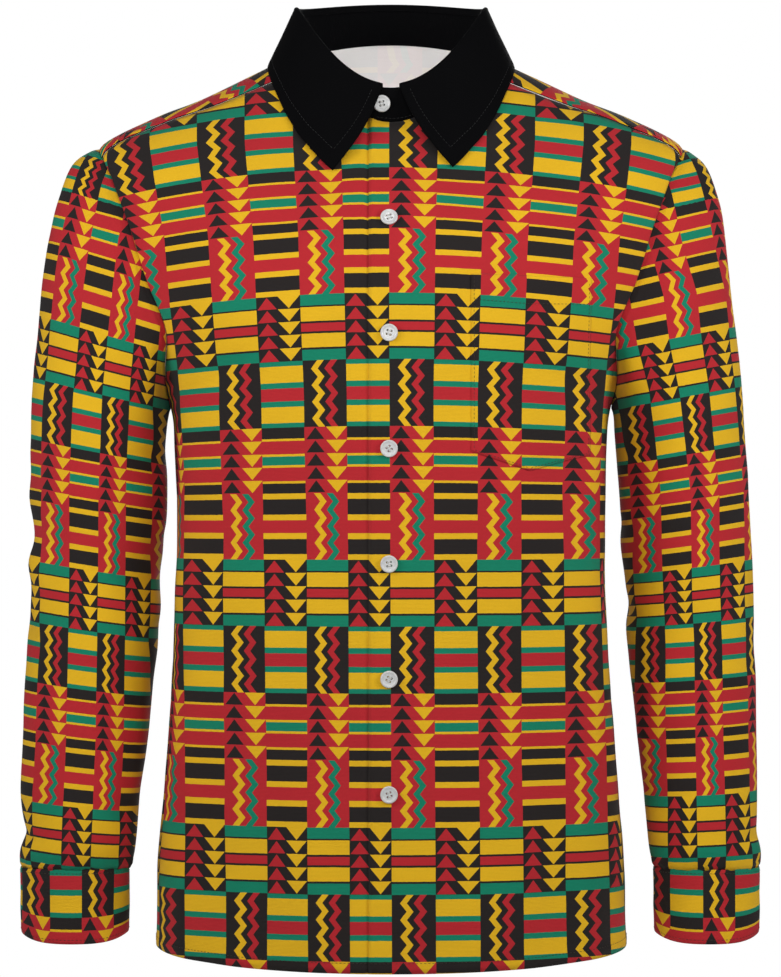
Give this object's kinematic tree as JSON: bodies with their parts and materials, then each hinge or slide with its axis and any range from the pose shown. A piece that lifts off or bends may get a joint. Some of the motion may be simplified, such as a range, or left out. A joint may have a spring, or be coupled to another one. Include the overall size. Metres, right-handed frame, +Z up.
{
  "type": "kente print shirt",
  "caption": "Long-sleeved button-up shirt in kente print cotton with a plain black turned-down collar, hollow and filled out as worn, with a chest pocket and buttoned cuffs.",
  "frame": {"origin": "midway between the shoulders, at the height where the yoke rests on them", "axes": "+Z up along the body, the front faces -Y, +X is the wearer's left"},
  "size_m": [0.5898, 0.2571, 0.7679],
  "materials": {
    "kente_cloth": "smooth printed cotton in yellow, red, green and black",
    "black_collar": "smooth plain black cotton, interlined",
    "white_button": "polished white with a faint pearl"
  },
  "bodies": {
    "root": {"front_left": "kente_cloth", "front_right": "kente_cloth", "back": "kente_cloth", "yoke": "kente_cloth", "sleeve_left": "kente_cloth", "sleeve_right": "kente_cloth", "cuff_left": "kente_cloth", "cuff_right": "kente_cloth", "pocket": "kente_cloth", "collar_stand": "black_collar", "collar_leaf": "black_collar", "button_1": "white_button", "button_2": "white_button", "button_3": "white_button", "button_4": "white_button", "button_5": "white_button", "button_6": "white_button", "button_7": "white_button", "cuff_button_left": "white_button", "cuff_button_right": "white_button"}
  },
  "joints": []
}
